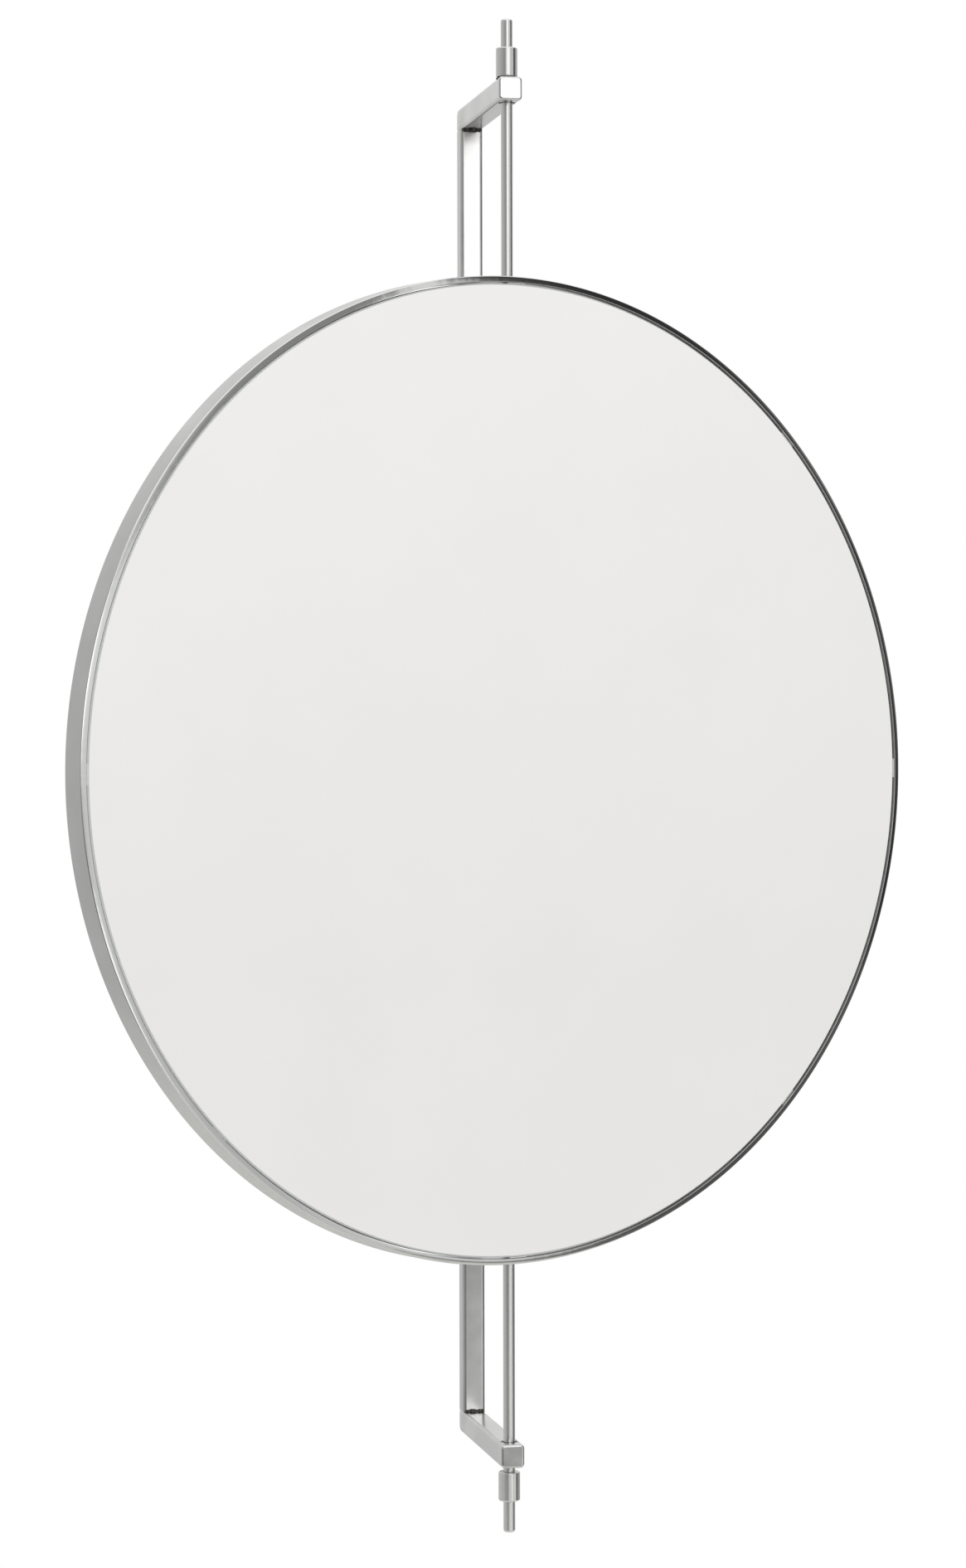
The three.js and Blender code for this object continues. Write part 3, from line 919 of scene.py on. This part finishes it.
class MIRROR_OT_ring(bpy.types.Operator):
    """Rolls the ring"""
    bl_idname = "wall_mirror.ring"
    bl_label = "Ring"

    def execute(self, context):
        sizes = context.scene.mirror_sizes
        rod = context.scene.rod_sizes
        outer = sizes.ring / 2
        front = ring_front()
        inside = sizes.ring_wall - sizes.inner_edge
        down = 0.0
        crown = []
        for share, slope in CROWN:
            down += (inside - share * sizes.ring_wall) * tan(radians(slope))
            inside = share * sizes.ring_wall
            crown.append((inside, down))
        roundings = (sizes.back_edge, sizes.back_edge, sizes.outer_edge, sizes.inner_edge)
        ring = turned_sleeve("rolled_ring", outer - sizes.ring_wall, outer, front - sizes.ring_depth, front,
                             roundings, 320, crown)
        hole_radius = rod.rod / 2 + 0.2 * MM
        for side in (-90, 90):
            hole = cylinder("rod_hole", hole_radius, outer - 4 * sizes.ring_wall, outer + sizes.ring_wall)
            cut(ring, placed(hole, Matrix.Rotation(radians(side), 4, "X")))
        wrapped(ring)
        given(smoothed(placed(ring, face_place())), ring_steel(), "mirror", "ring_steel", "ring_frame")
        return {"FINISHED"}


class MIRROR_OT_glass(bpy.types.Operator):
    """Cuts the glass, and sets its pads and tape"""
    bl_idname = "wall_mirror.glass"
    bl_label = "Glass"

    def execute(self, context):
        sizes = context.scene.mirror_sizes
        radius = sizes.ring / 2 - sizes.ring_wall - sizes.glass_gap
        front = glass_depth()
        back = front - sizes.glass
        glass = cylinder("mirror_pane", radius, back, front, 320)
        rounded_rims(glass, (back, front), sizes.glass_arris, 1)
        smoothed(placed(glass, face_place()), 30)
        given(glass, silvered_glass(), "mirror", "mirror_glass", "mirror_glass")
        glass.data.materials.append(ground_glass())
        normal = Vector(GLASS_NORMAL)
        for polygon in glass.data.polygons:
            if abs(polygon.normal.dot(normal)) < 0.98:
                polygon.material_index = 1
        pad_material = silicone_pad()
        for index in range(1, 9):
            pad = copied(frame["nodes"][f"glass_spacer_{index}"], f"silicone_pad_{index}")
            with editing(pad):
                bpy.ops.mesh.select_all(action="SELECT")
                bpy.ops.mesh.remove_doubles(threshold=MERGED)
            finished(pad, "BEVEL", width=0.12 * MM, segments=3, limit_method="ANGLE")
            if index % 2 == 0:
                placed(pad, Matrix.Translation(-normal * sizes.pad_drop))
            given(smoothed(pad), pad_material, "mirror", "clear_pad", f"glass_spacer_{index}")
        tape = foam_tape()
        for index in range(1, 5):
            for slot in frame["nodes"][f"foam_tape_{index}"].material_slots:
                slot.material = tape
        return {"FINISHED"}


class MIRROR_OT_backing(bpy.types.Operator):
    """Presses the back plate, the saddles and the edge clips"""
    bl_idname = "wall_mirror.backing"
    bl_label = "Backing"

    def execute(self, context):
        sizes = context.scene.mirror_sizes
        steel = sheet_steel()
        radius = sizes.ring / 2 - sizes.ring_wall - sizes.plate_gap
        plate_back = self.plate_back()
        plate = cylinder("pressed_back_plate", radius, plate_back, plate_back + sizes.plate, 320)
        rounded_rims(plate, (plate_back, plate_back + sizes.plate), 0.25 * MM, 3)
        given(smoothed(placed(plate, face_place())), steel, "mirror", "sheet_steel", "back_plate")
        for index in range(1, 4):
            height = node_middle(f"rod_saddle_{index}").z
            saddle = self.saddle(sizes, context.scene.rod_sizes, f"folded_saddle_{index}", -plate_back)
            place = Matrix.Translation((0, 0, height)) @ MIRROR_PLACE
            given(smoothed(placed(saddle, place)), steel, "mirror", "sheet_steel", f"rod_saddle_{index}")
        middle = Matrix.Translation((0, 0, mirror_middle())) @ MIRROR_PLACE
        for index in range(1, 5):
            clip = self.clip(sizes, f"folded_clip_{index}", -plate_back)
            place = middle @ Matrix.Rotation(radians(90 * index - 45), 4, "Y")
            given(smoothed(placed(clip, place)), steel, "mirror", "sheet_steel", f"edge_clip_{index}")
        return {"FINISHED"}

    def plate_back(self):
        """How far the plate's back stands before the rod's axis."""
        return bpy.context.scene.rod_sizes.rod / 2 + SEAT

    def saddle(self, sizes, rod, name, foot):
        """A strap over the rod with a foot on each side; the plate is towards -Y, the rod on Z."""
        thick = sizes.strap
        edge_x = rod.rod / 2 + SEAT + thick / 2
        foot_y = foot + SEAT + thick / 2
        foot_width = sizes.saddle_reach - edge_x
        middle = (-(sizes.saddle_reach + edge_x) / 2, foot_y, 0)
        strap = upright_plane(name, middle, foot_width, node_size("rod_saddle_1", 2))
        with editing(strap, "EDGE") as mesh:
            pick_edges(strap, mesh, both_at("x", -edge_x))
            bpy.ops.mesh.extrude_region_move(TRANSFORM_OT_translate={"value": (0, -foot_y, 0)})
            bpy.ops.mesh.spin(steps=16, angle=pi, center=(0, 0, 0), axis=(0, 0, 1))
            bpy.ops.mesh.extrude_region_move(TRANSFORM_OT_translate={"value": (0, foot_y, 0)})
            bpy.ops.mesh.extrude_region_move(TRANSFORM_OT_translate={"value": (foot_width, 0, 0)})
        return thickened(closed_up(strap), thick)

    def clip(self, sizes, name, foot):
        """An angle with one leg on the plate and one on the ring, at the ring's right-hand side."""
        thick = sizes.strap
        inside = sizes.ring / 2 - sizes.ring_wall
        edge_x = (inside ** 2 - sizes.clip ** 2 / 4) ** 0.5 - SEAT - thick / 2
        width = sizes.clip_leg - thick / 2
        angle = upright_plane(name, (edge_x - width / 2, foot + SEAT + thick / 2, 0), width, sizes.clip)
        with editing(angle, "EDGE") as mesh:
            pick_edges(angle, mesh, both_at("x", edge_x))
            bpy.ops.mesh.extrude_region_move(TRANSFORM_OT_translate={"value": (0, width, 0)})
        return thickened(angle, thick)


# ---- Stage ----

def studio_light():
    """A tent of soft light: what the steel and the glass give back.

    The camera sees plain white. Everything else sees a bright front and roof, a greyer left and
    back, and a black card on the right.
    """
    world = bpy.data.worlds.new("studio_tent")
    bpy.context.scene.world = world
    world.use_nodes = True
    tree = world.node_tree
    tree.nodes.clear()
    parts = add(tree, "SeparateXYZ", (add(tree, "TexCoord").outputs["Generated"],))
    backwards = add(tree, "Math", (parts.outputs["Y"], -1.0), operation="MULTIPLY")
    azimuth = add(tree, "Math", (parts.outputs["X"], backwards), operation="ARCTAN2")
    turn = add(tree, "MapRange", (azimuth, -pi, pi, 0.0, 1.0))

    def band(*stops):
        """One band's brightness by azimuth in degrees."""
        places = [((degrees + 180) / 360, grey) for degrees, grey in stops]
        return with_stops(add(tree, "ValToRGB", (turn,)), places)

    def at_height(low, high, below, above):
        """One band passing into the next between two sines of elevation."""
        share = add(tree, "MapRange", (parts.outputs["Z"], low, high, 0.0, 1.0))
        return add(tree, "Mix", (share, below, above), data_type="RGBA")

    # Azimuth 0 is straight in front and 90 the right; the bands go from the ground to the roof.
    # The dark stretch from 67 to about 88 is the black card. The dimmer one round -35 in the lower
    # bands is a gap in the tent.
    ground = band((-180, 0.75), (-75, 0.6), (-45, 0.2), (-26, 0.2), (10, 0.5), (24, 1.0), (42, 0.65),
                  (51, 0.8), (54, 0.15), (66, 0.12), (92, 0.3), (180, 0.75))
    low = band((-180, 0.62), (-125, 0.60), (-75, 0.46), (-45, 0.12), (-26, 0.12), (-14, 0.28), (13, 0.32),
               (18, 1.6), (25, 1.6), (29, 0.75), (42, 0.6), (54, 0.95), (60, 0.95), (65, 0.3), (67, 0.10),
               (80, 0.10), (94, 0.22), (130, 0.40), (180, 0.62))
    level = band((-180, 0.72), (-125, 0.62), (-75, 0.50), (-45, 0.32), (-27, 0.26), (-16, 0.38), (14, 0.45),
                 (26, 0.80), (46, 0.86), (64, 0.84), (67, 0.02), (88, 0.03), (104, 0.36), (150, 0.62),
                 (180, 0.72))
    level_top = band((-180, 0.82), (-125, 0.62), (-75, 0.50), (-42, 0.36), (-28, 0.36), (-16, 0.9), (-9, 2.3),
                     (14, 2.3), (26, 1.0), (46, 0.94), (64, 0.90), (67, 0.02), (84, 0.03), (96, 0.45),
                     (150, 0.85), (180, 0.82))
    high = band((-180, 0.86), (-125, 0.64), (-75, 0.50), (-42, 0.42), (-28, 0.38), (-16, 0.7), (-9, 1.35),
                (14, 1.35), (26, 0.75), (38, 0.34), (51, 0.30), (53, 1.1), (55.5, 1.1), (58, 0.08),
                (67, 0.03), (78, 0.05), (88, 0.35), (150, 0.85), (180, 0.86))
    roof = band((-180, 1.15), (-60, 1.15), (0, 1.35), (60, 1.25), (180, 1.15))
    tent = at_height(-0.46, -0.40, ground, low)
    tent = at_height(-0.20, -0.13, tent, level)
    tent = at_height(-0.06, 0.11, tent, level_top)
    tent = at_height(0.17, 0.24, tent, high)
    tent = at_height(0.56, 0.66, tent, roof)
    seen = add(tree, "LightPath").outputs["Is Camera Ray"]
    light = add(tree, "Mix", (seen, tent, (1.0, 1.0, 1.0)), data_type="RGBA")
    background = add(tree, "Background", {"Color": light, "Strength": 1.0})
    add(tree, "OutputWorld", {"Surface": background})


class MIRROR_OT_stage(bpy.types.Operator):
    """Sets the camera, the light and the floor"""
    bl_idname = "wall_mirror.stage"
    bl_label = "Stage"

    def camera(self, context, stage):
        data = bpy.data.cameras.new("camera")
        camera = bpy.data.objects.new("camera", data)
        context.collection.objects.link(camera)
        context.scene.camera = camera
        data.sensor_fit = "VERTICAL"
        data.sensor_height = 36.0
        data.lens = stage.lens
        away = Vector((sin(stage.azimuth), -cos(stage.azimuth), 0)) * stage.distance
        right = Vector((cos(stage.azimuth), sin(stage.azimuth), 0))
        rod = Vector((HINGE[0], HINGE[1], stage.height))
        rise = Vector((0, 0, tan(stage.pitch) * stage.distance))
        aim = rod - right * stage.aside + rise
        place = rod + away
        look = (aim - place).to_track_quat("-Z", "Y").to_matrix().to_4x4()
        camera.matrix_world = Matrix.Translation(place) @ look @ Matrix.Rotation(stage.roll, 4, "Z")

    def execute(self, context):
        stage = context.scene.stage_settings
        self.camera(context, stage)
        context.scene.view_settings.view_transform = "Standard"
        studio_light()
        floor = cylinder("floor", stage.floor_radius, -stage.floor_drop - 4 * MM, -stage.floor_drop, 128)
        rounded_rims(floor, (-stage.floor_drop,), 3 * MM)
        material, tree, shader = begin("pale_matt_floor", 0.8, 0.0)
        mottling = clouds(tree, add(tree, "TexCoord").outputs["Object"], 0.2)
        base = tuple(stage.floor)
        tone = add(tree, "Mix", (mottling, shaded(base, 0.97), base), data_type="RGBA")
        feed(shader, {"Base Color": tone})
        floor.data.materials.append(material)
        smoothed(floor)
        return {"FINISHED"}


class MIRROR_PT_build(bpy.types.Panel):
    """Lists the steps that build the mirror"""
    bl_idname = "MIRROR_PT_build"
    bl_label = "Wall mirror"
    bl_space_type = "VIEW_3D"
    bl_region_type = "UI"
    bl_category = "Mirror"

    def draw(self, context):
        for operator in OPERATORS:
            self.layout.operator(operator.bl_idname)
        for group in GROUPS:
            sizes = getattr(context.scene, group)
            for name in sizes.__annotations__:
                self.layout.prop(sizes, name)


GROUPS = {
    "bracket_sizes": BracketSizes,
    "rod_sizes": RodSizes,
    "mirror_sizes": MirrorSizes,
    "stage_settings": StageSettings,
}
OPERATORS = (MIRROR_OT_bracket, MIRROR_OT_welds, MIRROR_OT_bearings, MIRROR_OT_rod, MIRROR_OT_collars,
             MIRROR_OT_ring, MIRROR_OT_glass, MIRROR_OT_backing, MIRROR_OT_stage)
CLASSES = (*GROUPS.values(), *OPERATORS, MIRROR_PT_build)


def register():
    for item in CLASSES:
        bpy.utils.register_class(item)
    for name, group in GROUPS.items():
        setattr(bpy.types.Scene, name, PointerProperty(type=group))


def unregister():
    for name in GROUPS:
        delattr(bpy.types.Scene, name)
    for item in reversed(CLASSES):
        bpy.utils.unregister_class(item)


def main():
    register()
    for operator in OPERATORS:
        family, name = operator.bl_idname.split(".")
        getattr(getattr(bpy.ops, family), name)()


if __name__ == "__main__":
    main()
